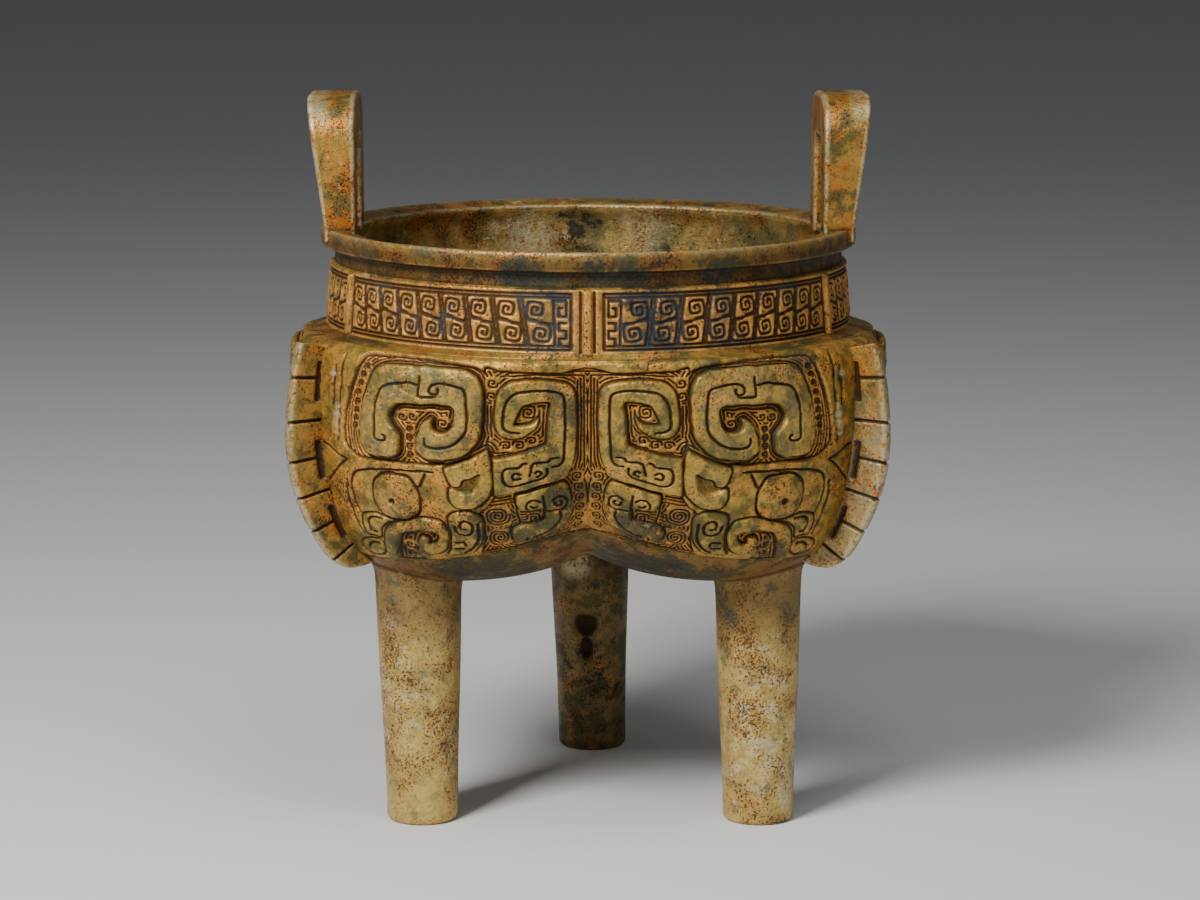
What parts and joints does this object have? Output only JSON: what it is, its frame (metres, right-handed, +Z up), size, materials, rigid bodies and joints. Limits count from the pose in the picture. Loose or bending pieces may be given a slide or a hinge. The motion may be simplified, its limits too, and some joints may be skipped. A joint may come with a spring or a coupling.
{
  "type": "bronze ding vessel",
  "caption": "Ritual bronze cooking vessel: lobed bowl on straight round legs, with upright loop handles on a flat rim, a patterned neck band, notched flanges and mask faces in relief.",
  "frame": {"origin": "on the floor, under the middle of the bounding box; the vessel's own axis is 11 mm towards the front (-Y) from it, because one lobe and its flange point straight back", "axes": "+Z up; -Y is the front, where two mask lobes meet at a cleft; +X is the side of one handle, on the viewer's right"},
  "size_m": [0.1784, 0.1796, 0.2165],
  "materials": {
    "bronze": "antique bronze with brown, olive and sandy patina, semi-matt"
  },
  "bodies": {
    "root": {"ding": "bronze"}
  },
  "joints": []
}
